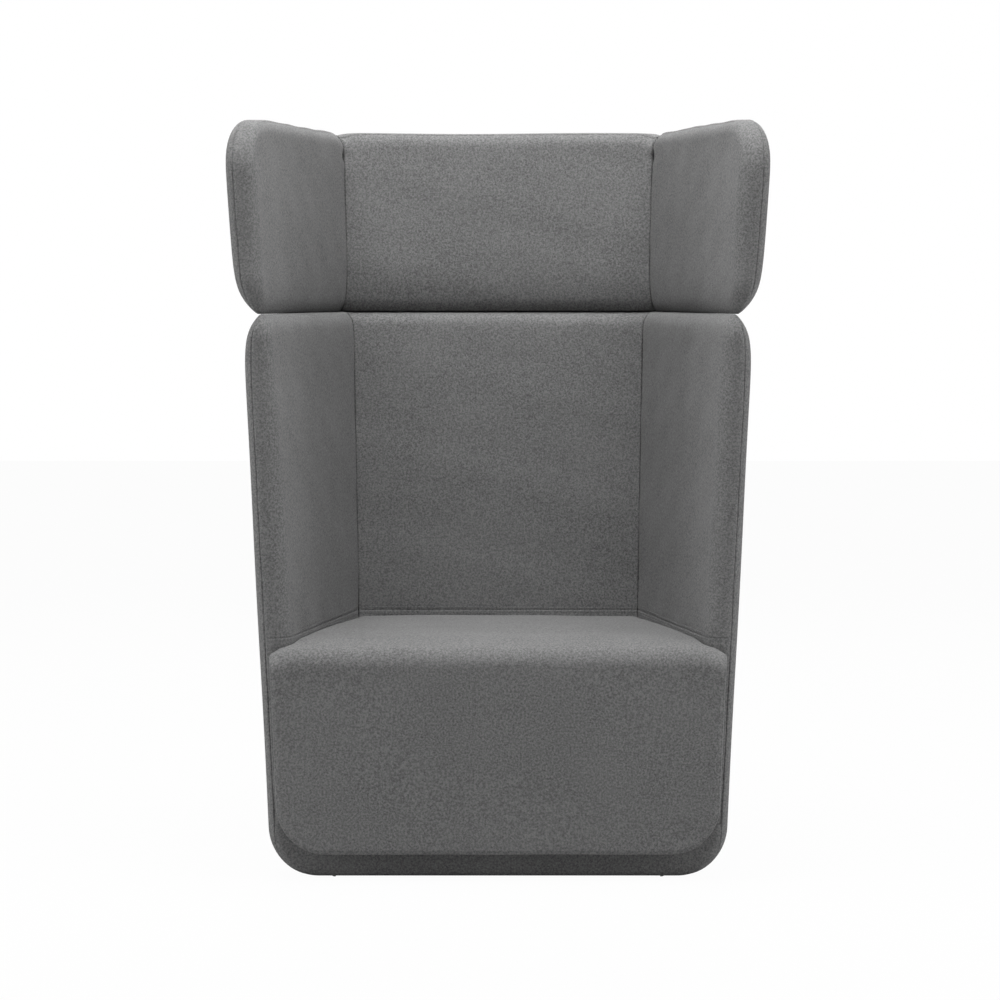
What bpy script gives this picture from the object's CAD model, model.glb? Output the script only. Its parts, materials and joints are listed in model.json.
# %% [markdown]
# # An acoustic high back lounge chair
# The chair is a low upholstered shell with splayed walls, a box seat between them and a headrest
# with two wings that stands on the shell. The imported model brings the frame: boards, panels, pins
# and glides. This file makes what the eye sees, the felt covers, and every finish.

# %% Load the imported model
import json
import math
from dataclasses import dataclass

import bmesh
import bpy
import numpy as np
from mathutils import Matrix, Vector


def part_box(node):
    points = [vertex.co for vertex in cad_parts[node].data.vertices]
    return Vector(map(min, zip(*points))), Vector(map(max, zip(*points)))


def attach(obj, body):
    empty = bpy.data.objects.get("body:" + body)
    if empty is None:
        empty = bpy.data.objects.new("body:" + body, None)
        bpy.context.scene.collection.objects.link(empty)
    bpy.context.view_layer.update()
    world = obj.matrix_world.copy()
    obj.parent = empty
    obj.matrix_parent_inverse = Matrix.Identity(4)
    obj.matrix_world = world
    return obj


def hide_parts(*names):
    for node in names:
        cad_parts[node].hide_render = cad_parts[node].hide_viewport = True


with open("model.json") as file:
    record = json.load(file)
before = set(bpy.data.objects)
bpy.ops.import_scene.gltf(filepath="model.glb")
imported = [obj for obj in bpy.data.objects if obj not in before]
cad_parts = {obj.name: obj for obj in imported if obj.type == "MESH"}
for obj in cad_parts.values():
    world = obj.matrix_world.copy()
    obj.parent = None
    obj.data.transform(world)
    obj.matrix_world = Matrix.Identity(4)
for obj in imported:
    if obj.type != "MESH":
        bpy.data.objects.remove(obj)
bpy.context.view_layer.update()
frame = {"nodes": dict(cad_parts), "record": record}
print("CAD nodes:", len(frame["nodes"]))

# %% [markdown]
# ## The sizes that shape the covers
# Felt stretched over foam follows the padding, so the covers are worked out from the same planes
# as the padding. Each wall is a plane that leans a little outwards and opens to the front. Most of
# the values are the part's own, here in metres.

# %% Driving sizes
FLOOR_GAP = 0.0028  # the cover hangs a little lower than the frame
TOP_Z = 1.330
JOINT_Z = 0.987
JOINT_GAP = 0.0004
WALL_FRONT_Y = -0.380
SEAT_FRONT_Y = -0.420
OUTER_SPLAY = 0.1495
BACK_LEAN = 0.0604
INNER_BACK_Y = 0.0787
RECLINE = 0.174
EDGE_R = 0.024  # rounding of the walls' edges
SEAM_IN = 0.015  # the edge seam lies this far inside the outer surface
BOTTOM_R = 0.085
FELT = 0.0016  # thickness of the felt
SEAM_R = 0.0024  # how softly a panel turns into a seam
TUCK = 0.005  # cloth turned in behind a seam
TUCK_DEPTH = 0.3  # how much deeper it goes, as a share of that
FLAT_SEAM_Z = 0.4215  # level of the flat double seam inside the shell
STITCH_OFF = 0.006  # its two rows of stitches lie this far above and below
INNER_STEP = 0.0065  # cells of the inner covers' grids, and of the others
OUTER_STEP = 0.0075


# %% [markdown]
# ## One description for both padded forms
# Shell and headrest have the same kind of shape: two walls and a back in one, rounded in plan at
# the back. One small class holds the planes of either, and can move each into the padding.

# %% The planes of a padded form
def within(value, low, high):
    """0 below low, 1 above high, straight between."""
    return np.clip((value - low) / (high - low), 0, 1)


@dataclass
class Form:
    """Walls and back of the shell or of the headrest. Inner holds the half width, the flare and
    the splay of the walls' inner planes."""

    half: float
    flare: float
    inner: tuple
    back_y: float
    z_low: float
    z_high: float
    back_corner_r: float
    low_front_r: float
    top_front_r: float
    mitre: float
    bottom_r: float

    def outer_x(self, y, z, inset=0.0):
        """Outer face of the right wall: half width, plus flare times height, less splay times
        depth, less the inset measured square to the plane."""
        grow = math.sqrt(1 + self.flare ** 2 + OUTER_SPLAY ** 2)
        return self.half + self.flare * z - OUTER_SPLAY * (y - WALL_FRONT_Y) - inset * grow

    def inner_x(self, y, z, inset=0.0):
        """Inner face of the right wall, moved into the wall by the inset."""
        half, flare, splay = self.inner
        grow = math.sqrt(1 + flare ** 2 + splay ** 2)
        return half + flare * z - splay * y + inset * grow

    def outer_y(self, z, inset=0.0):
        """Outer face of the back, which leans back with height."""
        return self.back_y + BACK_LEAN * z - inset * math.sqrt(1 + BACK_LEAN ** 2)

    def inner_y(self, z, inset=0.0):
        """Inner face of the back, which reclines more than the outer one."""
        return INNER_BACK_Y + RECLINE * z + inset * math.sqrt(1 + RECLINE ** 2)

    def crease(self, z, inset=0.0):
        """Where the right wall and the back meet inside: x and y at a height."""
        y = self.inner_y(z, inset)
        return self.inner_x(y, z, inset), y

    def outline(self, along, z, inset=0.0):
        """Plan outline of the right half at a height, from the front to the middle of the back:
        a straight wall, an arc with its centre one radius inside both planes, a straight back.
        Gives x, y and the outward direction. Along is the depth on the wall, then runs on."""
        along, z, inset = np.broadcast_arrays(along, z, inset)
        radius = (self.back_corner_r - inset) * LEVEL_CUT
        centre_y = self.outer_y(z, self.back_corner_r)
        centre_x = self.outer_x(centre_y, z, self.back_corner_r)
        first = math.atan(OUTER_SPLAY)
        turn = within(along, SIDE_END, ARC_END)
        angle = first + turn * (math.pi / 2 - first)
        x = centre_x + radius * np.cos(angle)
        y = centre_y + radius * np.sin(angle)
        tangent_y = centre_y + radius * math.sin(first)
        side_y = np.where(along < 0, along, along / SIDE_END * tangent_y)
        y = np.where(along < SIDE_END, side_y, y)
        x = np.where(along < SIDE_END, self.outer_x(side_y, z, inset), x)
        back = within(along, ARC_END, MIDDLE)
        x = np.where(along > ARC_END, centre_x * (1 - back), x)
        y = np.where(along > ARC_END, self.outer_y(z, inset), y)
        return x, y, np.cos(angle), np.sin(angle)

    def outer_point(self, along, v, inset=0.0):
        """Outer surface: v is the height, and below the tangent it runs round the lower edge by
        arc length and on under the base. The inset moves the surface into the padding."""
        r = self.bottom_r
        if not r:
            x, y, _, _ = self.outline(along, v, inset)
            return np.stack([x, y, v + 0 * x], axis=-1)
        bend = np.clip((self.z_low + r - v) / r, 0, math.pi / 2)
        under = np.maximum(self.z_low + r - v - r * math.pi / 2, 0)
        radius = r - inset
        level = np.where(bend > 0, self.z_low + r - radius * np.sin(bend), v)
        depth = inset + radius * (1 - np.cos(bend)) + under
        x, y, _, _ = self.outline(along, level, depth)
        return np.stack([x, y, level + 0 * x], axis=-1)


SIDE_END = 0.22  # where the outline leaves the wall, in its running measure
ARC_END = 0.41
MIDDLE = 0.66
LEVEL_CUT = 1.002  # a leaning round corner cut level is this much wider

SHELL = Form(half=0.4020, flare=0.0486, inner=(0.2707, 0.05605, 0.1925), back_y=0.3311,
             z_low=FLOOR_GAP, z_high=JOINT_Z - JOINT_GAP, back_corner_r=0.130,
             low_front_r=0.0, top_front_r=0.044, mitre=0.30, bottom_r=BOTTOM_R)
HEAD = Form(half=0.3911, flare=0.0691, inner=(0.2741, 0.0627, 0.19), back_y=0.3406,
            z_low=JOINT_Z, z_high=TOP_Z, back_corner_r=0.1395,
            low_front_r=0.062, top_front_r=0.098, mitre=0.45, bottom_r=0.0)
print("front half widths:", SHELL.outer_x(WALL_FRONT_Y, 0.5), HEAD.outer_x(WALL_FRONT_Y, TOP_Z))

# %% [markdown]
# ## Cloth as a grid of points
# A cover is a sheet that runs over a face and rolls round its edges. Every cover here starts as
# two lists of lines, one each way, closer together at seams. The helpers below turn such a grid
# into a mesh, and sink its edges so that two neighbours meet in a real groove.

# %% Lines, closer together where a seam needs them
def lines(low, high, step, fine_at=(), fine=0.0009, reach=0.003):
    """Values from low to high a step apart, shrinking to the fine step near each listed place."""
    at = np.linspace(low, high, 6001)
    spacing = np.full_like(at, step)
    for place in fine_at:
        away = np.clip((np.abs(at - place) - reach) / (6 * reach), 0, 1)
        spacing = np.minimum(spacing, fine + (step - fine) * away)
    count = np.concatenate([[0], np.cumsum(np.diff(at) / (spacing[1:] + spacing[:-1]) * 2)])
    number = int(round(count[-1]))
    return np.interp(np.linspace(0, count[-1], number + 1), count, at)


def normals_of(points):
    """Unit normals of a grid of points, from the cross product of its two directions. In the
    grid's corners the directions can run into one line, so a point further in lends its normal."""
    du = np.gradient(points, axis=0)
    dv = np.gradient(points, axis=1)
    normal = np.cross(du, dv)
    normal = normal / np.maximum(np.linalg.norm(normal, axis=-1, keepdims=True), 1e-12)
    for u_part, u_good in ((slice(0, 3), 3), (slice(-3, None), -4)):
        for v_part, v_good in ((slice(0, 3), 3), (slice(-3, None), -4)):
            normal[u_part, v_part] = normal[u_good, v_good]
    return normal


def length_from(points, axis, at):
    """Cloth length of every point from the grid's first line (at 0) or its last (at -1)."""
    step = np.linalg.norm(np.diff(points, axis=axis), axis=-1)
    step = step if at == 0 else np.flip(step, axis)
    run = np.cumsum(step, axis=axis)
    run = np.concatenate([np.zeros_like(np.take(run, [0], axis=axis)), run], axis=axis)
    return run if at == 0 else np.flip(run, axis)


def sewn(points, form):
    """Sinks the grid's edges by a quarter round of SEAM_R at both ends, at the top and on the
    headrest also at the bottom. Then adds one more line there, tucked in behind the neighbour:
    mostly onwards, and a little deeper."""
    sides = ((0, 0), (0, -1), (1, -1)) + (((1, 0),) if form is HEAD else ())
    normal = normals_of(points)
    flat = points
    depth = np.zeros(points.shape[:2])
    for axis, at in sides:
        near = np.clip(SEAM_R - length_from(points, axis, at), 0, SEAM_R)
        depth = np.maximum(depth, SEAM_R - np.sqrt(SEAM_R ** 2 - near ** 2))
    points = points - normal * depth[..., None]
    for axis, at in sides:
        end, out, edge = (np.take(grid, [at], axis=axis) for grid in (flat, normal, points))
        onwards = end - np.take(flat, [3 if at == 0 else -4], axis=axis)
        onwards = onwards / np.maximum(np.linalg.norm(onwards, axis=-1, keepdims=True), 1e-9)
        edge = edge + onwards * TUCK - out * TUCK * TUCK_DEPTH
        points = beside(edge, points, axis, at)
        normal = beside(out, normal, axis, at)
        flat = beside(end, flat, axis, at)
    return points


def beside(line, grid, axis, at):
    """A grid with one more line before its first one (at 0) or behind its last one."""
    return np.concatenate([line, grid] if at == 0 else [grid, line], axis=axis)


def grid_faces(rows, columns, start=0):
    """Four-sided faces of a grid whose points are numbered row by row."""
    index = start + np.arange(rows * columns).reshape(rows, columns)
    quads = np.stack([index[:-1, :-1], index[1:, :-1], index[1:, 1:], index[:-1, 1:]], axis=-1)
    return quads.reshape(-1, 4)


def mesh_piece(name, grids):
    """One mesh object from one or more grids of points, joined where their edges coincide."""
    points, faces, start = [], [], 0
    for grid in grids:
        rows, columns = grid.shape[:2]
        points.append(grid.reshape(-1, 3))
        faces.append(grid_faces(rows, columns, start))
        start += rows * columns
    mesh = bpy.data.meshes.new(name)
    mesh.from_pydata(np.concatenate(points).tolist(), [], np.concatenate(faces).tolist())
    mesh.validate()
    mesh.shade_smooth()
    piece = bpy.data.objects.new(name, mesh)
    bpy.context.scene.collection.objects.link(piece)
    weld(piece)
    return piece


def weld(piece, distance=0.00005):
    """Merges points that coincide."""
    sheet = bmesh.new()
    sheet.from_mesh(piece.data)
    bmesh.ops.remove_doubles(sheet, verts=sheet.verts, dist=distance)
    bmesh.ops.dissolve_degenerate(sheet, edges=sheet.edges, dist=0.000001)
    sheet.to_mesh(piece.data)
    sheet.free()


def cloth_piece(name, grid, thickness=FELT):
    """One sheet of cloth with its thickness, which lies towards the padding."""
    piece = mesh_piece(name, [grid])
    wall = piece.modifiers.new("felt thickness", "SOLIDIFY")
    wall.thickness = thickness
    wall.offset = -1.0
    return piece


def mirror_of(points):
    """The same grid on the other side of the chair, wound so that it still faces outwards."""
    return np.flip(points * np.array([-1.0, 1.0, 1.0]), axis=0)


# %% [markdown]
# ## Rolling a sheet round its edges
# Where a cover leaves a flat face it rolls round a rounded edge, and at a corner the edge itself
# turns. A square grid is bent to the corner with the square-to-disc map, so no line ends there.

# %% Where a grid point stands in relation to the rounded edge
REACH = 0.060  # the part of the grid that lies on a rim, in its own measure


def rim(u, v, low, high, radii, reach=REACH):
    """For each point: its foot on the flat core with rounded corners, the outward direction and
    how far it lies beyond. In a corner, a point of the square goes to the disc by
    a' = a sqrt(1 - b b / 2), b' = b sqrt(1 - a a / 2)."""
    far_u = u > (low[0] + high[0]) / 2
    far_v = v > (low[1] + high[1]) / 2
    radius = np.where(far_u, np.where(far_v, radii[1][1], radii[1][0]),
                      np.where(far_v, radii[0][1], radii[0][0]))
    way_u = np.where(far_u, 1.0, -1.0)
    way_v = np.where(far_v, 1.0, -1.0)
    centre_u = np.where(far_u, high[0] - radius, low[0] + radius)
    centre_v = np.where(far_v, high[1] - radius, low[1] + radius)
    a = way_u * (u - centre_u)
    b = way_v * (v - centre_v)
    limit = radius + reach
    corner = (a > 0) & (b > 0)
    bent_a = np.where(corner, a * np.sqrt(np.clip(1 - (b / limit) ** 2 / 2, 0, 1)), a)
    bent_b = np.where(corner, b * np.sqrt(np.clip(1 - (a / limit) ** 2 / 2, 0, 1)), b)
    distance = np.hypot(np.maximum(bent_a, 0), np.maximum(bent_b, 0))
    beyond = np.maximum(distance - radius, 0)
    out_u = way_u * np.maximum(bent_a, 0) / np.maximum(distance, 1e-9)
    out_v = way_v * np.maximum(bent_b, 0) / np.maximum(distance, 1e-9)
    foot_u = centre_u + way_u * bent_a - out_u * beyond
    foot_v = centre_v + way_v * bent_b - out_v * beyond
    return foot_u, foot_v, out_u, out_v, beyond


NOWHERE = 9.0  # an edge so far away that a sheet has no rim there


def form_rim(form, u, v, at_back=False, reach=REACH):
    """The rim of a form's wall, or of its back, which has no front edge and no round corners."""
    low_u = WALL_FRONT_Y + EDGE_R
    low_v = form.z_low + EDGE_R if form.low_front_r else -NOWHERE
    radii = (max(form.low_front_r - EDGE_R, 0), form.top_front_r - EDGE_R)
    if at_back:
        low_u, radii = -NOWHERE, (0, 0)
    return rim(u, v, (low_u, low_v), (NOWHERE, form.z_high - EDGE_R), (radii, (0, 0)), reach)


SEAM_TURN = math.asin((EDGE_R - SEAM_IN) / EDGE_R)
INNER_SHARE = 0.5  # part of a rim that rolls round the inner edge
OUTER_SHARE = 0.82  # from here on the rim rolls over the outer edge, up to the seam


def over_rim(beyond):
    """A rim's three parts: the turn round the inner edge, the way across the flat strip from 0
    to 1, and the turn over the outer edge up to the seam."""
    share = beyond / REACH
    turn = within(share, 0, INNER_SHARE) * math.pi / 2
    strip = within(share, INNER_SHARE, OUTER_SHARE)
    roll = within(share, OUTER_SHARE, 1) * SEAM_TURN
    return turn, strip, roll


def mitre_place(form, z):
    """Where the seam out of the inner corner reaches the edge seam, along the outline."""
    along = np.linspace(0, MIDDLE, 4001)
    x, y, _, _ = form.outline(along, z, SEAM_IN)
    corner_x, corner_y = form.crease(z)
    off = x - corner_x - form.mitre * (y - corner_y)
    return float(along[np.argmin(np.abs(off))])


SHEAR_FROM = -0.12  # in front of this depth the grid of a wall runs square


def wall_lining(form, u_lines, v_lines):
    """Inner cover of the right wall: depth and height on the inner plane, then round the rim to
    the edge seam. Near the inner corner the grid leans over to follow the corner's own line."""
    u, v = np.meshgrid(u_lines, v_lines, indexing="ij")
    middle_y = form.crease((form.z_low + form.z_high) / 2)[1]
    foot_u, foot_v, out_u, out_v, beyond = form_rim(form, u, v)
    turn, strip, roll = over_rim(beyond)
    inset = EDGE_R * (1 - np.cos(turn))
    out = EDGE_R * np.sin(turn)
    lean = within(foot_u, SHEAR_FROM, middle_y)
    z = foot_v + out_v * out
    y = foot_u + out_u * out + lean * (form.crease(z, inset)[1] - middle_y)
    x = form.inner_x(y, z, inset)
    return across_rim(form, np.stack([x, y, z], axis=-1), (out_u, out_v), strip, roll,
                      foot_u + out_u * EDGE_R + lean * (mitre_place(form, form.z_high) - middle_y),
                      foot_v + out_v * EDGE_R)


def across_rim(form, point, way, strip, roll, along, level):
    """Carries points across the flat strip of a rim and over the start of the outer edge."""
    x2, y2, face_x, face_y = form.outline(along, level, EDGE_R)
    over = EDGE_R * np.sin(roll)
    drop = EDGE_R * (1 - np.cos(roll))
    x = point[..., 0] + strip * (x2 - point[..., 0]) + face_x * over
    y = point[..., 1] + strip * (y2 - point[..., 1]) + face_y * over - way[0] * drop
    z = point[..., 2] + strip * (level - point[..., 2]) - way[1] * drop
    return np.stack([x, y, z], axis=-1)


def back_lining(form, u_lines, v_lines):
    """Inner cover of the back: a share of the half width and the height on the reclined plane,
    then over the top (and under the headrest) to the edge seam. It is worked out for the right
    half by size and given the sign of its side."""
    u, v = np.meshgrid(u_lines, v_lines, indexing="ij")
    foot_u, foot_v, _, out_v, beyond = form_rim(form, u, v, at_back=True)
    turn, strip, roll = over_rim(beyond)
    inset = EDGE_R * (1 - np.cos(turn))
    z = foot_v + out_v * EDGE_R * np.sin(turn)
    corner_x, _ = form.crease(z, inset)
    half = np.abs(foot_u)
    side = np.where(foot_u < 0, -1.0, 1.0)
    point = np.stack([half * corner_x, form.inner_y(z, inset), z], axis=-1)
    along = MIDDLE - half * (MIDDLE - mitre_place(form, form.z_high))
    point = across_rim(form, point, (0, out_v), strip, roll, along, foot_v + out_v * EDGE_R)
    point[..., 0] *= side
    return point


# %% [markdown]
# ## Small signs of hand work
# Felt on a real chair is never quite flat: it swells a little between seams, dips where seams
# meet, and a flat seam pulls a shallow line. These are moves along the normal, each a smooth
# function of place.

# %% Swell, dips and flat seams
def moved(points, depth):
    """Moves each point inwards by a depth of its own."""
    return points - normals_of(points) * depth[..., None]


def dip(points, centre, size, depth):
    """A soft hollow: depth times the bell curve of the distance over the size."""
    away = np.linalg.norm((points - np.array(centre)) / np.array(size), axis=-1)
    return depth * np.exp(-away ** 2)


def groove(distance, depth=0.0013, width=0.0018):
    """A sewn line: deepest on the line itself, gone at a few widths."""
    return depth * np.exp(-(distance / width) ** 2)


def fading(distance, depth, reach, power):
    """A move that is deepest at distance 0 and dies away smoothly over the reach."""
    return depth * np.exp(-(np.abs(distance) / reach) ** power)


# Fades: depth, reach and power, counted from the joint, the top or the wing's front
HEAD_OUTER_LOW = (0.025, 0.033, 1.2)
HEAD_OUTER_TOP = (0.0085, 0.040, 1.0)
HEAD_WALL_LOW = (0.010, 0.034, 1.3)
HEAD_BACK_LOW = (0.016, 0.040, 1.3)
WING_SETTLE = (0.007, 0.11, 2)  # the wing's front corner hangs by this much
SETTLE_BELOW_TOP = (1, 0.04, 1)
SHELL_OUTER_TOP = (0.023, 0.036, 1.3)
SHELL_INNER_TOP = (0.006, 0.020, 1.4)
PRESSED = (0.0022, 0.03, 2)  # each form's rounded edge is pressed flat at the joint
JOINT_FALL = (0.0042, 0.012, 2)  # the shell's top drops towards its inner edge
CORNER_REACH = 0.030  # how far from the inner corner both walls' moves are felt


def soft_ends(form, points):
    """The padding thins out towards the joint and towards the top of the wings, so the outline is
    rounder there than the frame. Every point moves towards the middle of its wall: the outer side
    by one fading amount, the inner side by another, and what lies between in proportion. At the
    joint both forms are pressed flat on one plane."""
    x, y, z = np.abs(points[..., 0]), points[..., 1], points[..., 2]
    wall_in, wall_out = form.inner_x(y, z), form.outer_x(y, z)
    back_in, back_out = form.inner_y(z), form.outer_y(z)
    from_low, from_top = z - form.z_low, form.z_high - z
    if form is HEAD:
        outer = fading(from_low, *HEAD_OUTER_LOW) + fading(from_top, *HEAD_OUTER_TOP)
        inner_wall = fading(from_low, *HEAD_WALL_LOW)
        inner_back = fading(from_low, *HEAD_BACK_LOW)
        settle = fading(y - WALL_FRONT_Y, *WING_SETTLE) * fading(from_top, *SETTLE_BELOW_TOP)
        z = np.maximum(z - settle - fading(from_low, *PRESSED), JOINT_Z - FELT / 4)
    else:
        outer = fading(from_top, *SHELL_OUTER_TOP)
        inner_wall = fading(from_top, *SHELL_INNER_TOP)
        inner_back = inner_wall
        z = np.minimum(z + fading(from_top, *PRESSED), JOINT_Z)
        falls_inwards = fading(from_top, *JOINT_FALL)
    share_x = within(x, wall_in, wall_out)
    share_y = within(y, back_in, back_out)
    near_wall = 1 - smooth(wall_in - x, 0, CORNER_REACH)
    near_back = 1 - smooth(back_in - y, 0, CORNER_REACH)
    if form is SHELL:
        z = z - falls_inwards * ((1 - share_x) * (1 - share_y)) ** 2
    move_x = inner_wall * (1 - share_x) * near_wall - outer * share_x
    move_y = inner_back * (1 - share_y) * near_back - outer * share_y
    return np.stack([np.sign(points[..., 0]) * (x + move_x), y + move_y, z], axis=-1)


def smooth(value, low, high):
    """0 below low, 1 above high, with a smooth rise between."""
    share = within(value, low, high)
    return share * share * (3 - 2 * share)


WAVE_LENGTHS = (0.31, 0.19, 0.12, 0.08)


def unevenness(points, amount=0.0006, seed=3):
    """Slow waves in the padding: a sum of a few sine waves with seeded directions. They die out
    towards the joint, where the headrest's weight presses the padding flat."""
    rng = np.random.default_rng(seed)
    total = np.zeros(points.shape[:2])
    for length in WAVE_LENGTHS:
        way = rng.normal(size=3)
        way *= 2 * math.pi / length / np.linalg.norm(way)
        total += np.sin(points @ way + rng.uniform(0, 6.28)) * (length / WAVE_LENGTHS[0]) ** 0.7
    return amount * total * smooth(np.abs(points[..., 2] - JOINT_Z), 0.002, 0.030)


# %% [markdown]
# ## The inner covers
# Each module has three: one on either wall and one on the back. They are cut so that the cloth
# also goes over the rim, and the seam lies out of sight just inside the outer edge.

# %% Inner covers of the headrest and of the shell
BAND_TOP = 0.095  # above this height the walls' covers begin, below it the base's band
TOP_SEAM_SHARE = 0.33  # place of the top seam, as a share of the way round the rim
TOP_SEAM_DEPTH = 0.0020
TOP_SEAM_CROSSING = 0.035
TOP_SEAM_STARTS = (0.4, 0.7)  # in quarter turns round the corner
TOP_SEAM_CROSSES = (0.5, 1.9)
RIM_WIDTH = 0.080  # rough length of the way round the rim, for a seam's width


def inner_covers(form, name, v_low):
    """The wall covers and the back cover of one form."""
    middle_y = form.crease((form.z_low + form.z_high) / 2)[1]
    u_front = WALL_FRONT_Y + EDGE_R - REACH
    v_top = form.z_high - EDGE_R + REACH
    v_seam = form.z_high - EDGE_R + REACH * TOP_SEAM_SHARE
    v_fine = [v_low, v_top, FLAT_SEAM_Z if form is SHELL else v_seam]
    v_lines = lines(v_low, v_top, INNER_STEP, v_fine)
    right_lines = lines(u_front, middle_y, INNER_STEP, [u_front, middle_y])
    back_lines = lines(-1, 1, 0.026, [-1, 1], fine=0.0035, reach=0.012)
    u_lines = {"left": right_lines, "back": back_lines, "right": right_lines}
    wall = wall_lining(form, right_lines, v_lines)
    back = back_lining(form, back_lines, v_lines)
    made = []
    for part, grid in (("left", mirror_of(wall)), ("back", back), ("right", wall)):
        depth = unevenness(grid)
        if form is SHELL:
            depth = depth + flat_seam(grid)
        else:
            depth = depth + corner_dips(form, grid) + top_seam(form, part, u_lines[part], v_lines)
        grid = soft_ends(form, grid)
        grid = sewn(moved(grid, facing(part) * depth)[:: facing(part)], form)
        made.append(cloth_piece(f"{name}_felt_{part}", grid))
    return made


def facing(part):
    """Whether a grid as worked out faces outwards already (1) or has to be turned round (-1)."""
    return 1 if part == "back" else -1


PINCH_Z = 1.284  # level of the small pinch in the inner corner
PINCH = ((0.010, 0.010, 0.009), 0.004)  # size and depth
CORNER_DIP = ((0.018, 0.018, 0.030), 0.005)
CORNER_LINE = (0.0045, 0.016, 2)  # depth, reach and power, as above
CORNER_LINE_BELOW_TOP = (1, 0.012, 2)


def corner_dips(form, grid):
    """The pinch at the top of each inner corner, where four layers of felt meet."""
    x, y = form.crease(form.z_high)
    away = np.abs(grid[..., 0]) - x - form.mitre * (grid[..., 1] - y)
    below_top = fading(form.z_high - grid[..., 2], *CORNER_LINE_BELOW_TOP)
    total = fading(away, *CORNER_LINE) * below_top
    low_x, low_y = form.crease(PINCH_Z)
    for side in (-1, 1):
        total = total + dip(grid, (side * x, y, form.z_high), *CORNER_DIP)
        total = total + dip(grid, (side * low_x, low_y, PINCH_Z), *PINCH)
    return total


def top_seam(form, part, u_lines, v_lines):
    """The seam that leaves the edge seam at the wing's top corner, crosses the top and runs on
    along the inner top edge. It is a sewn line at one share of the way round the rim, and that
    share goes smoothly from the edge's to the inner one behind the corner."""
    u, v = np.meshgrid(u_lines, v_lines, indexing="ij")
    if part == "back":
        share = (v - form.z_high + EDGE_R) / REACH
        return groove((share - TOP_SEAM_SHARE) * RIM_WIDTH, TOP_SEAM_DEPTH)
    front = WALL_FRONT_Y + EDGE_R
    radius = form.top_front_r - EDGE_R
    _, _, out_u, out_v, beyond = rim(u, v, (front, -NOWHERE), (NOWHERE, form.z_high - EDGE_R),
                                     ((radius, radius), (0, 0)))
    progress = np.arctan2(out_v, -out_u) / (math.pi / 2)
    progress = progress + np.maximum(u - front - radius, 0) / TOP_SEAM_CROSSING
    seam_share = 1 + (TOP_SEAM_SHARE - 1) * smooth(progress, *TOP_SEAM_CROSSES)
    line = groove((beyond / REACH - seam_share) * RIM_WIDTH, TOP_SEAM_DEPTH)
    line = line * smooth(progress, *TOP_SEAM_STARTS)
    return line if part == "right" else np.flip(line, axis=0)


def flat_seam(grid):
    """Two rows of stitching beside a seam at the level of the seat."""
    off = grid[..., 2] - FLAT_SEAM_Z
    return groove(off, 0.0007) + groove(off - STITCH_OFF, 0.0003) + groove(off + STITCH_OFF, 0.0003)


head_linings = inner_covers(HEAD, "headrest", HEAD.z_low + EDGE_R - REACH)
shell_linings = inner_covers(SHELL, "shell", BAND_TOP)
print("inner covers:", [len(piece.data.polygons) for piece in head_linings + shell_linings])

# %% [markdown]
# ## The outer covers
# The outside is one sheet that goes round the back from one front edge to the other. On the shell
# it also goes round the large lower edge and is fixed under the base.

# %% Outer covers
ROLL_REACH = EDGE_R * (math.pi / 2 - SEAM_TURN)
UNDER_BASE = 0.030
BASE_EDGE_R = 0.008
BACK_SEAM = 0.235  # place of the upright seam behind each wall, in the outline's measure


def base_share(form, v):
    """0 on the wall, rising to 1 where the outer surface has turned under the base."""
    if not form.bottom_r:
        return np.zeros_like(v)
    return smooth((form.z_low + form.bottom_r - v) / form.bottom_r / (math.pi / 2), 0, 1)


def front_edge_r(form, v):
    """Rounding of the front edge: EDGE_R on the wall, tight where the cover goes under the base."""
    return EDGE_R - (EDGE_R - BASE_EDGE_R) * base_share(form, v)


def outer_cover(form, name):
    """Right half: place along the outline and height, rolled over the front and the top up to
    the edge seam. The left half is its mirror image."""
    u_front = WALL_FRONT_Y + EDGE_R - ROLL_REACH
    v_top = form.z_high - EDGE_R + ROLL_REACH
    v_low = form.z_low + EDGE_R - ROLL_REACH
    if form.bottom_r:
        v_low = form.z_low + form.bottom_r * (1 - math.pi / 2) - UNDER_BASE
    u, v = np.meshgrid(lines(u_front, MIDDLE, OUTER_STEP, [u_front, BACK_SEAM]),
                       lines(v_low, v_top, OUTER_STEP, [v_low, v_top]), indexing="ij")
    foot_u, foot_v, out_u, out_v, beyond = form_rim(form, u, v, reach=ROLL_REACH)
    turn = beyond / EDGE_R
    turn = turn * np.where(out_u < 0, 1 - base_share(form, foot_v), 1)
    radius = front_edge_r(form, foot_v)
    foot_u = foot_u - (EDGE_R - radius) * np.clip(1 - (foot_u - WALL_FRONT_Y - EDGE_R) / 0.1, 0, 1)
    out = radius * np.sin(turn)
    right = form.outer_point(foot_u + out_u * out, foot_v + out_v * out, radius * (1 - np.cos(turn)))
    seam = groove(u - BACK_SEAM, 0.0022, 0.0024)
    right = moved(soft_ends(form, right), unevenness(right, amount=0.0005, seed=5) + seam)
    left = mirror_of(right)
    whole = np.concatenate([right, left[1:]], axis=0)
    return cloth_piece(f"{name}_felt_outside", sewn(whole, form))


head_outer = outer_cover(HEAD, "headrest")
shell_outer = outer_cover(SHELL, "shell")
print("outer covers:", len(head_outer.data.polygons), len(shell_outer.data.polygons))

# %% [markdown]
# ## The band across the base
# Under the seat's front slab the base shows as a dark set-back band. Its cloth turns under the
# front edge, and meets the outer cover at the edge seam on either side.

# %% Band across the front of the base
BAND_HIDDEN_X = 0.32  # further in than this the band's upper edge is level
UNDER_STRIP = np.array([0.0, 0.020, 0.002])
BAND_COLUMNS, BAND_ROLL_COLUMNS = 6, 12


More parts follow.
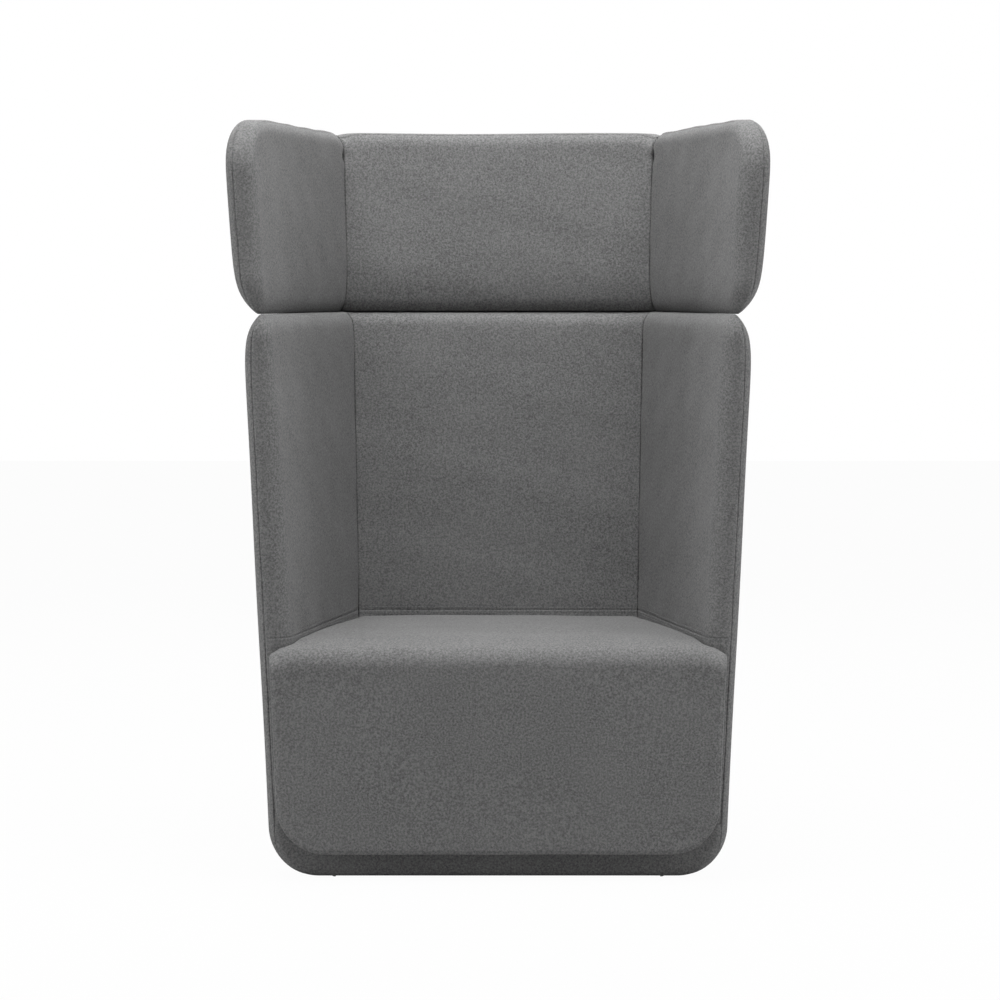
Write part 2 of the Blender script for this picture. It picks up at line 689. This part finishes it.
def base_band():
    """Carried along the lower outline of the front, from one wall's cover to the other's: first
    the flat front face, then the roll outwards, which turns further the nearer it is to the
    underside."""
    last_v = SHELL.z_low + BOTTOM_R * (1 - math.pi / 2) - SHELL.outer_x(WALL_FRONT_Y, 0.0) + BOTTOM_R
    v = lines(last_v, BAND_TOP, 0.007, [BAND_TOP])
    share = base_share(SHELL, v)
    last_turn = SEAM_TURN + (math.pi / 2 - SEAM_TURN) * share
    radius = front_edge_r(SHELL, v)
    tangent = SHELL.outer_point(WALL_FRONT_Y, v, radius)
    hidden = tangent.copy()
    hidden[:, 0] = np.minimum(tangent[:, 0], BAND_HIDDEN_X)
    hidden[:, 2] = np.maximum(tangent[:, 2], BAND_TOP + 0.01)
    across = np.linspace(0, 1, BAND_COLUMNS + 1)[None, :-1, None]
    flat = hidden[:, None] + (tangent - hidden)[:, None] * across
    flat[..., 1] = WALL_FRONT_Y
    turn = last_turn[:, None] * np.linspace(0, 1, BAND_ROLL_COLUMNS)[None]
    radius = radius[:, None]
    roll = SHELL.outer_point(WALL_FRONT_Y + radius * (1 - np.cos(turn)), v[:, None] + 0 * turn,
                             radius * (1 - np.sin(turn)))
    under = roll[:, -1:] + UNDER_STRIP * share[:, None, None]
    right = np.concatenate([flat, roll, under], axis=1)
    right[0, :, 0] = 0.0
    whole = np.concatenate([mirror_of(right)[:-1], right], axis=0)
    return cloth_piece("base_band", whole[::-1])


band = base_band()
print("base band:", len(band.data.polygons))

# %% [markdown]
# ## The seat
# The seat is a box cushion: a front slab that stands in front of the walls and leaves a narrow
# strip of them free, and a top that runs back between the walls. One sheet covers both. It goes
# up the front, rolls over the front edge, runs back crowned in the middle and rolls down at each
# side.

# %% Seat cover
SEAT_LOW_Z = 0.046
SEAT_SLAB_HALF = 0.3805
SEAT_SLAB_FLARE = 0.0455
SEAT_LOW_R = 0.082
SEAT_EDGE_R = 0.010
SEAT_TOP_EDGE_R = 0.036  # rounding of the front edge on top
SEAT_TURN = math.pi / 2 - 0.40  # how far that rounding turns, up to the sloping top
SEAT_FALL_FROM = -0.300  # in front of this depth the top falls away towards the front edge
SEAT_FALL = 0.90  # drop in metres per square metre of depth
WELT_AT = 0.0085  # place of the slab's edge seam, measured round its edge
WELT_HEIGHT = 0.0016
WELT_WIDTH = 0.0016
WELT_ENDS = (0.385, 0.405)  # it fades out behind the slab's front
EDGE_CHANGES_Y = (-0.400, -0.30)  # from the slab's edge to the roll along the walls
SLAB_MIDDLE_Z = 0.25
FALL_BEGINS = 0.15  # the front's top follows the crown from this far below its edge
SHOULDER_DROP = 0.013  # how far the slab's two top corners are rounded off
SHOULDER_X = (0.340, 0.408)
SHOULDER_Y = (0.34, 0.40)
BETWEEN_WALLS_Y = (-0.388, -0.3815)  # here the slab's width goes over to that of the top
ROLL_SHARE = 0.85  # part of the sheet's rim that rolls, the rest hangs straight
SEAT_BACK_R = 0.012
SEAT_BACK_Z = 0.411
SEAT_GAP = 0.0015
SEAT_DEPTH = 0.0385  # thickness of the front slab
# Lines across the seat's top: place in depth, height in the middle, drop at the sides
SEAT_TOP_LINES = np.array([(-0.440, 0.413, 0.002), (-0.300, 0.419, 0.003),
                           (-0.080, 0.419, 0.005), (0.180, 0.411, 0.001)])
CROWN_HALF = 0.410
SIDE_ROLL_R = 0.013  # rounding of the top along the walls
SEAT_REACH = 0.058
SEAT_FINE_ABOVE = 0.013  # the grid is fine here, above the start of the front edge
crown_mid = np.polyfit(SEAT_TOP_LINES[:, 0], SEAT_TOP_LINES[:, 1], 3)
crown_drop = np.polyfit(SEAT_TOP_LINES[:, 0], SEAT_TOP_LINES[:, 2], 3)


def crown(x, y):
    """Height of the seat's top: the cubic curve through the four middle heights, less the cubic
    curve of the drops times the square of the share of the half width, less the fall towards the
    front and the rounded shoulders of the slab."""
    fall = SEAT_FALL * np.minimum(y - SEAT_FALL_FROM, 0) ** 2
    shoulder = SHOULDER_DROP * smooth(np.abs(x), *SHOULDER_X) ** 1.5 * smooth(-y, *SHOULDER_Y)
    middle = np.polyval(crown_mid, y) - fall
    return middle - np.polyval(crown_drop, y) * (x / CROWN_HALF) ** 2 - shoulder


seat_edge_y = SEAT_FRONT_Y + SEAT_TOP_EDGE_R * (1 - math.cos(SEAT_TURN))
seat_edge_z = float(crown(0.0, seat_edge_y))
seat_start_z = seat_edge_z - SEAT_TOP_EDGE_R * math.sin(SEAT_TURN)


def seat_profile(x, v, inset):
    """Depth and height on the seat's front and top. v is the height on the front, then runs on
    round the front edge and back along the top."""
    bend = np.clip((v - seat_start_z) / SEAT_TOP_EDGE_R, 0, SEAT_TURN)
    back = np.maximum(v - seat_start_z - SEAT_TOP_EDGE_R * SEAT_TURN, 0)
    radius = SEAT_TOP_EDGE_R - inset
    y = SEAT_FRONT_Y + SEAT_TOP_EDGE_R - radius * np.cos(bend) + back
    z = np.where(bend > 0, seat_start_z + radius * np.sin(bend), v)
    settle = smooth(v, seat_start_z - FALL_BEGINS, seat_start_z + SEAT_TOP_EDGE_R * SEAT_TURN)
    top = crown(x, np.maximum(y, seat_edge_y))
    return y, z + (top - seat_edge_z) * settle


def seat_half_width(y, z):
    """Half width of the seat's sheet: the slab in front, the space between the walls behind."""
    slab = SEAT_SLAB_HALF + SEAT_SLAB_FLARE * z
    rounding = EDGE_R * (1 - np.sqrt(np.clip(1 - ((WALL_FRONT_Y + EDGE_R - y) / EDGE_R) ** 2, 0, 1)))
    between = SHELL.inner_x(y, z) - SEAT_GAP + np.where(y < WALL_FRONT_Y + EDGE_R, rounding, 0)
    return slab + (between - slab) * smooth(y, *BETWEEN_WALLS_Y)


def seat_cover():
    """One sheet over the front and the top, rolled down on all four sides."""
    run_back = SHELL.inner_y(SEAT_BACK_Z) - SEAT_GAP - seat_edge_y
    v_end = seat_start_z + SEAT_TOP_EDGE_R * SEAT_TURN + run_back - SIDE_ROLL_R
    core_half = SEAT_SLAB_HALF + SEAT_SLAB_FLARE * SLAB_MIDDLE_Z - SEAT_EDGE_R
    low = (-core_half, SEAT_LOW_Z + SEAT_EDGE_R)
    high = (core_half, v_end)
    low_r = SEAT_LOW_R - SEAT_EDGE_R
    rim_middle = SEAT_REACH / 2
    fine_u = [-core_half - rim_middle, core_half + rim_middle]
    fine_v = [low[1] - rim_middle, seat_start_z + SEAT_FINE_ABOVE, v_end + rim_middle]
    u_lines = lines(-core_half - SEAT_REACH, core_half + SEAT_REACH, OUTER_STEP, fine_u, 0.0035, 0.03)
    v_lines = lines(low[1] - SEAT_REACH, v_end + SEAT_REACH, OUTER_STEP, fine_v, 0.0035, 0.03)
    u, v = np.meshgrid(u_lines, v_lines, indexing="ij")
    foot_u, foot_v, out_u, out_v, beyond = rim(
        u, v, low, high, ((low_r, SEAT_BACK_R), (low_r, SEAT_BACK_R)), SEAT_REACH)
    y_foot = seat_profile(0.0, foot_v, 0.0)[0]
    radius = SEAT_EDGE_R + (SIDE_ROLL_R - SEAT_EDGE_R) * smooth(y_foot, *EDGE_CHANGES_Y)
    share = beyond / SEAT_REACH
    turn = within(share, 0, ROLL_SHARE) * math.pi / 2
    straight = within(share, ROLL_SHARE, 1)
    inset = radius * (1 - np.cos(turn)) + straight * (SEAT_DEPTH - radius)
    out = radius * np.sin(turn)
    v_at = foot_v + out_v * out
    y_at, z_at = seat_profile(0.0, v_at, 0.0)
    half = seat_half_width(y_at, z_at) - radius
    x = foot_u / core_half * half + out_u * out
    y, z = seat_profile(x, v_at, inset)
    grid = np.stack([x, y, z], axis=-1)
    welt = groove(turn * radius - WELT_AT, WELT_HEIGHT, WELT_WIDTH) * smooth(-y_foot, *WELT_ENDS)
    grid = moved(grid, unevenness(grid, amount=0.0005, seed=9) - welt)
    return cloth_piece("seat_cover_felt", grid)


seat = seat_cover()
print("seat cover:", len(seat.data.polygons))

# %% [markdown]
# ## Felt
# The cover is a wool melange felt: fibres in several greys, felted so that no weave shows. Up
# close it is a fine mottle with a few paler fibres and a short nap that catches grazing light.

# %% Shader groups that several finishes share
def group(name, outputs, inputs):
    """An empty shader group with named sockets."""
    tree = bpy.data.node_groups.new(name, "ShaderNodeTree")
    for label, kind in outputs:
        tree.interface.new_socket(label, in_out="OUTPUT", socket_type=kind)
    for label, kind, value in inputs:
        socket = tree.interface.new_socket(label, in_out="INPUT", socket_type=kind)
        socket.default_value = value
    return tree, tree.nodes.new("NodeGroupInput"), tree.nodes.new("NodeGroupOutput")


def fill(tree, node, values):
    """Sets or links the inputs of a node, or of a new one of this kind: a socket is linked, a
    value is set."""
    if isinstance(node, str):
        node = tree.nodes.new("ShaderNode" + node)
    for label, value in values.items():
        if hasattr(value, "is_output"):
            tree.links.new(value, node.inputs[label])
        else:
            node.inputs[label].default_value = value
    return node


def noise(tree, place, scale, detail, roughness):
    """The value of a noise on object coordinates."""
    node = fill(tree, "TexNoise", {"Scale": scale, "Detail": detail, "Roughness": roughness,
                                   "Vector": place})
    return node.outputs["Fac"]


def blend_colours(tree, factor, first, second):
    """A colour mix: first where the factor is 0, second where it is 1."""
    node = tree.nodes.new("ShaderNodeMix")
    node.data_type = "RGBA"
    return fill(tree, node, {0: factor, 6: first, 7: second}).outputs[2]


def ramp(tree, value, low, high, ends=(0, 1)):
    """Stretches a value from low and high to the two ends."""
    node = fill(tree, "MapRange", {"From Min": low, "From Max": high, "To Min": ends[0],
                                   "To Max": ends[1], "Value": value})
    return node.outputs["Result"]


def combined(tree, operation, first, second):
    """One sum of two values, such as ADD or MAXIMUM."""
    node = tree.nodes.new("ShaderNodeMath")
    node.operation = operation
    return fill(tree, node, {0: first, 1: second}).outputs[0]


def melange_group():
    """Colour and height of a melange felt from three scales of noise."""
    tree, given, result = group(
        "melange", [("Color", "NodeSocketColor"), ("Height", "NodeSocketFloat")],
        [("Dark", "NodeSocketColor", (0.07, 0.07, 0.07, 1)),
         ("Pale", "NodeSocketColor", (0.2, 0.2, 0.2, 1))])
    place = tree.nodes.new("ShaderNodeTexCoord").outputs["Object"]
    mottle = noise(tree, place, 290.0, 2.0, 0.55)
    fibre = noise(tree, place, 760.0, 3.0, 0.7)
    cloud = noise(tree, place, 9.0, 2.0, 0.5)
    dark, pale = given.outputs["Dark"], given.outputs["Pale"]
    first = blend_colours(tree, ramp(tree, mottle, 0.34, 0.66), dark, pale)
    second = blend_colours(tree, ramp(tree, fibre, 0.3, 0.7), dark, pale)
    both = blend_colours(tree, 0.5, first, second)
    both = blend_colours(tree, ramp(tree, cloud, 0.2, 3.5), both, pale)
    fill(tree, result, {"Color": both, "Height": combined(tree, "ADD", mottle, fibre)})
    return tree


def plain_material(name, roughness, metallic=0.0):
    """A material with its shader, its roughness set on the shader's own socket."""
    material = bpy.data.materials.new(name)
    material.use_nodes = True
    shader = material.node_tree.nodes["Principled BSDF"]
    fill(material.node_tree, shader, {"Roughness": roughness, "Metallic": metallic})
    return material, material.node_tree, shader


def bump(tree, shader, height, distance, strength=1.0):
    """Sends a height to the shader's normal."""
    node = fill(tree, "Bump", {"Distance": distance, "Strength": strength, "Height": height})
    fill(tree, shader, {"Normal": node.outputs["Normal"]})


melange = melange_group()


def felt_material(name, dark, pale):
    """Woollen felt: matt, mottled, with a short nap."""
    material, tree, shader = plain_material(name, 0.95)
    node = tree.nodes.new("ShaderNodeGroup")
    node.node_tree = melange
    fill(tree, node, {"Dark": (*dark, 1), "Pale": (*pale, 1)})
    fill(tree, shader, {"Sheen Weight": 0.06, "Sheen Roughness": 0.35, "Specular IOR Level": 0.06,
                        "Base Color": node.outputs["Color"]})
    bump(tree, shader, node.outputs["Height"], 0.0006, 0.6)
    return material


grey_felt = felt_material("grey felt", (0.050, 0.050, 0.051), (0.235, 0.235, 0.234))
print("felt material ready")

# %% [markdown]
# ## Finishes of the frame inside
# The pieces under the felt keep their CAD shape and get the finish of their real stuff: plywood
# and softwood show grain, bolts are dull zinc, the pins are turned steel, the feet black plastic.

# %% Finishes of wood, steel, plastic, foam and webbing
ROUGH_SPREAD = 0.08  # roughness varies with the grain by this much either way


def grained_material(name, dark, pale, stretch, roughness=0.6, metallic=0.0, depth=0.0002):
    """A finish with a grain: noise whose pattern is drawn out along one direction."""
    material, tree, shader = plain_material(name, roughness, metallic)
    source = tree.nodes.new("ShaderNodeTexCoord").outputs["Object"]
    place = fill(tree, "Mapping", {"Scale": stretch, "Vector": source}).outputs["Vector"]
    grain = noise(tree, place, 1.0, 5.0, 0.65)
    rough = ramp(tree, grain, 0, 1, (roughness - ROUGH_SPREAD, roughness + ROUGH_SPREAD))
    colour = blend_colours(tree, ramp(tree, grain, 0.3, 0.7), (*dark, 1), (*pale, 1))
    fill(tree, shader, {"Base Color": colour, "Roughness": rough})
    bump(tree, shader, grain, depth)
    return material


# For each slot: name, dark, pale, stretch and roughness, and for some metallic and depth
GRAINED = {
    "lining_cloth": ("lining cloth", (0.012,) * 3, (0.03,) * 3, (900,) * 3, 0.9),
    "foam": ("cut foam", (0.55, 0.5, 0.38), (0.75, 0.7, 0.58), (500,) * 3, 0.9),
    "webbing": ("webbing", (0.12, 0.1, 0.08), (0.3, 0.27, 0.22), (300, 300, 1500), 0.8),
    "plywood": ("plywood", (0.42, 0.28, 0.15), (0.66, 0.49, 0.3), (40, 6, 6), 0.6),
    "solid_wood": ("softwood", (0.45, 0.29, 0.14), (0.68, 0.5, 0.29), (50, 5, 50), 0.6),
    "zinc_steel": ("zinc steel", (0.45, 0.46, 0.47), (0.68, 0.69, 0.7), (120,) * 3,
                   0.42, 1.0, 0.00005),
    "bright_steel": ("turned steel", (0.6, 0.6, 0.61), (0.75, 0.75, 0.76), (60, 60, 2500),
                     0.25, 1.0, 0.00003),
    "black_plastic": ("black plastic", (0.012, 0.012, 0.013), (0.022, 0.022, 0.023), (1400,) * 3,
                      0.5, 0.0, 0.00005),
}
finishes = {slot: grained_material(*row) for slot, row in GRAINED.items()}
finishes["grey_felt"] = grey_felt


def dress_nodes():
    """Gives every CAD node the finish of its slot in the record."""
    slots = {part["node"]: part["material_slot"] for part in frame["record"]["subparts"]}
    for name, node in frame["nodes"].items():
        node.data.materials.clear()
        node.data.materials.append(finishes[slots[name]])
    print("CAD nodes dressed:", len(slots))


dress_nodes()


def tie(piece, body, slot, material=None):
    """Gives a piece the finish of its slot, or one of its own, and ties it to its body."""
    piece.data.materials.append(material or finishes[slot])
    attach(piece, body)


def dress(piece, body, *nodes):
    """Finishes a felt cover as a padded piece and hides the nodes that it stands for."""
    tie(piece, body, "grey_felt")
    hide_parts(*nodes)


for piece, side in zip(head_linings, ("left", "back", "right")):
    dress(piece, "headrest", f"headrest_inner_cover_{side}", f"headrest_{side}_foam")
for piece, side in zip(shell_linings, ("left", "back", "right")):
    foam = "back_foam" if side == "back" else f"{side}_side_foam"
    dress(piece, "shell", f"inner_cover_{side}", foam)
dress(head_outer, "headrest", "headrest_outer_cover", "headrest_outer_foam")
dress(shell_outer, "shell", "outer_cover", "outer_back_foam")
dress(band, "shell", "base_foam")
dress(seat, "shell", "seat_cover", "seat_foam", "seat_front_foam")

# %% [markdown]
# ## Stitches and eyelets
# The flat seam inside the shell is held by two rows of thread, each stitch a small closed spindle.
# Where the headrest's pins enter the shell and leave the headrest, a flat steel ring guards the
# felt. The felt isn't cut inside the ring.

# %% Rows of stitches beside the flat seam
STITCH_LONG = 0.0042
STITCH_THICK = 0.0005
STITCH_STEP = 0.0062
STITCH_FROM_FRONT = 0.03  # the rows begin this far behind the wall's front
STITCH_FROM_CORNER = 0.012  # where the back's rows end
STITCH_ENDS_BEFORE = 0.02  # where the walls' rows end, as a share of their run


def spindle(place, way, out):
    """One thread seen on the cloth: a spindle along the seam, six-sided, closed at both ends."""
    along = np.linspace(-1, 1, 5)[:, None, None]
    round_it = np.linspace(0, 2 * math.pi, 7)[None, :, None]
    thick = STITCH_THICK * np.sqrt(np.maximum(1 - along ** 2, 0))
    across = np.cross(out, way)
    ring = np.cos(round_it) * out + np.sin(round_it) * across
    return place + along * STITCH_LONG / 2 * way + thick * ring


def stitch_row(start, end, out):
    """Stitches at even steps on a straight line over the cloth."""
    run = end - start
    count = int(np.linalg.norm(run) / STITCH_STEP)
    way = run / np.linalg.norm(run)
    return [spindle(start + run * (step + 0.5) / count, way, out) for step in range(count)]


def flat_seam_stitches():
    """Two rows on each wall and two on the back, at the level of the seat."""
    threads = []
    for z in (FLAT_SEAM_Z - STITCH_OFF, FLAT_SEAM_Z + STITCH_OFF):
        front_y, back_y = WALL_FRONT_Y + STITCH_FROM_FRONT, SHELL.inner_y(z)
        front, corner = (np.array([SHELL.inner_x(y, z), y, z]) for y in (front_y, back_y))
        run = corner - front
        end = corner - run * STITCH_ENDS_BEFORE
        out = np.cross(np.array([0, 0, 1.0]), run)
        out = out / np.linalg.norm(out)
        for side in (-1.0, 1.0):
            flip = np.array([side, 1.0, 1.0])
            threads += stitch_row(front * flip, end * flip, out * flip)
        reach = corner[0] - STITCH_FROM_CORNER
        left, right = (np.array([x, back_y, z]) for x in (-reach, reach))
        threads += stitch_row(left, right, np.array([0, -1.0, 0]))
    piece = mesh_piece("flat_seam_stitches", threads)
    tie(piece, "shell", "grey_felt", thread)
    print("stitches:", len(threads))


# %% Eyelets round the headrest's pins
PIN_X = 0.190
PIN_Y = 0.322
EYELET_HOLE_R = 0.0098
EYELET_RIM = 0.0022
EYELET_PROUD = 0.0004


def eyelet(side, name, body, z):
    """A flat steel ring: a squashed torus set into the cloth."""
    round_it, rim_turn = np.meshgrid(np.linspace(0, 2 * math.pi, 49),
                                     np.linspace(0, 2 * math.pi, 17), indexing="ij")
    r = EYELET_HOLE_R + EYELET_RIM * (1 + np.cos(rim_turn))
    ring = np.stack([side * PIN_X + r * np.cos(round_it), PIN_Y + r * np.sin(round_it),
                     z + EYELET_PROUD * np.sin(rim_turn)], axis=-1)
    tie(mesh_piece(name, [ring]), body, "zinc_steel")


thread, _, thread_shader = plain_material("pale thread", 0.8)
thread_shader.inputs["Base Color"].default_value = (0.20, 0.20, 0.20, 1)
flat_seam_stitches()
for side, word in ((-1, "left"), (1, "right")):
    eyelet(side, f"socket_eyelet_{word}", "shell", JOINT_Z - JOINT_GAP)
    eyelet(side, f"pin_eyelet_{word}", "headrest", JOINT_Z)

# %% [markdown]
# ## The cloth under the base
# Upholstery is closed from below with a thin black cloth. It is stretched, so it is a flat sheet.

# %% Bottom cloth
CLOTH_INSIDE = 0.012  # the cloth ends this far inside the round lower edge
CLOTH_WAVE = 0.0002


def bottom_cloth():
    """A flat sheet with slow waves, cut to the flat part of the base's underside."""
    low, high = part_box("bottom_cloth")
    share_x, share_y = np.meshgrid(np.linspace(-1, 1, 61), np.linspace(0, 1, 61), indexing="ij")
    y = low[1] + share_y * (high[1] - low[1])
    edge_x = SHELL.outline(y, SHELL.z_low, BOTTOM_R + CLOTH_INSIDE)[0]
    x = share_x * np.minimum(high[0], edge_x)
    z = low[2] + CLOTH_WAVE * np.sin(40 * x) * np.cos(33 * y)
    grid = np.stack([x, y, z], axis=-1)[::-1]
    piece = cloth_piece("bottom_cloth_sheet", grid, thickness=0.0006)
    tie(piece, "shell", "lining_cloth")
    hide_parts("bottom_cloth")
    return piece


cloth = bottom_cloth()
print("bottom cloth:", [round(d, 3) for d in cloth.dimensions])

# %% [markdown]
# ## Floor, light and camera
# Soft light comes from above and leaves the front a little in shade, as in the photograph. The
# floor is pale and shows white to the camera, but keeps the chair's own shadow.

# %% Floor and world
WORLD_LIGHT = 0.08
FLOOR_WHITE = 0.97  # share of plain white in what the camera sees of the floor
FLOOR_X, FLOOR_FRONT, FLOOR_BACK = 9, -9, 14


def white_to_camera(tree, surface, out, share):
    """Adds white light that only the camera and reflections see, on the way to the output."""
    path = tree.nodes.new("ShaderNodeLightPath").outputs
    seen = path["Is Camera Ray"]
    for label in ("Is Glossy Ray", "Is Transmission Ray"):
        seen = combined(tree, "MAXIMUM", seen, path[label])
    part = combined(tree, "MULTIPLY", seen, share)
    glow = fill(tree, "Emission", {"Strength": 1.0}).outputs[0]
    mix = fill(tree, "MixShader", {0: part, 1: surface, 2: glow})
    fill(tree, out, {"Surface": mix.outputs[0]})


def make_floor():
    """A flat pale floor with its upper face at height 0."""
    x, y = np.meshgrid([-FLOOR_X, FLOOR_X], [FLOOR_FRONT, FLOOR_BACK], indexing="ij")
    floor = mesh_piece("floor", [np.stack([x, y, 0 * x], axis=-1).astype(float)])
    material, tree, shader = plain_material("pale floor", 0.8)
    shader.inputs["Base Color"].default_value = (0.45, 0.45, 0.45, 1)
    white_to_camera(tree, shader.outputs[0], tree.nodes["Material Output"], FLOOR_WHITE)
    floor.data.materials.append(material)


def make_world():
    """Even pale light from all round, pure white behind the chair."""
    world = bpy.data.worlds.new("studio")
    bpy.context.scene.world = world
    world.use_nodes = True
    tree = world.node_tree
    sky = tree.nodes["Background"]
    fill(tree, sky, {"Color": (1, 1, 1, 1), "Strength": WORLD_LIGHT})
    white_to_camera(tree, sky.outputs[0], tree.nodes["World Output"], 1.0)


make_floor()
make_world()


# %% Lamps
def soft_lamp(name, place, target, size, power):
    """A large square lamp turned towards a target."""
    data = bpy.data.lights.new(name, "AREA")
    data.shape = "RECTANGLE"
    data.size, data.size_y = size
    data.energy = power
    lamp = bpy.data.objects.new(name, data)
    lamp.location = place
    way = np.array(target, dtype=float) - np.array(place, dtype=float)
    level = math.hypot(way[0], way[1])
    lamp.rotation_euler = (math.atan2(level, -way[2]), 0, math.atan2(-way[0], way[1]))
    bpy.context.scene.collection.objects.link(lamp)


soft_lamp("overhead", (0.0, -0.7, 3.6), (0.0, 0.0, 0.8), (3.2, 2.6), 126)
soft_lamp("rear", (0.0, 3.6, 3.0), (0.0, 0.2, 0.8), (3.2, 2.4), 90)
soft_lamp("top", (0.0, -0.1, 3.4), (0.0, 0.0, 0.8), (1.6, 1.6), 50)
soft_lamp("front", (0.0, -5.5, 2.2), (0.0, 0.0, 0.7), (3.0, 2.0), 7)
for side in (-1, 1):
    soft_lamp(f"side_{side + 2}", (3.0 * side, -2.0, 1.6), (0.0, -0.2, 0.7), (2.0, 2.4), 19)
    soft_lamp(f"edge_{side + 2}", (3.2 * side, -0.6, 0.9), (0.0, -0.2, 0.7), (1.6, 1.6), 46)

# %% Camera at the photograph's place
PHOTO_FOCAL = 3453.0  # focal length in pixels of a picture 1000 wide
SENSOR = 36.0  # width in millimetres
TILT_DOWN = 0.062184
camera_data = bpy.data.cameras.new("camera")
camera_data.sensor_width = SENSOR
camera_data.lens = PHOTO_FOCAL * SENSOR / 1000
camera = bpy.data.objects.new("camera", camera_data)
camera.location = (0.0035, -6.38, 1.0372)
camera.rotation_euler = (math.pi / 2 - TILT_DOWN, 0, 0)
bpy.context.scene.collection.objects.link(camera)
bpy.context.scene.camera = camera
bpy.context.scene.view_settings.view_transform = "Standard"
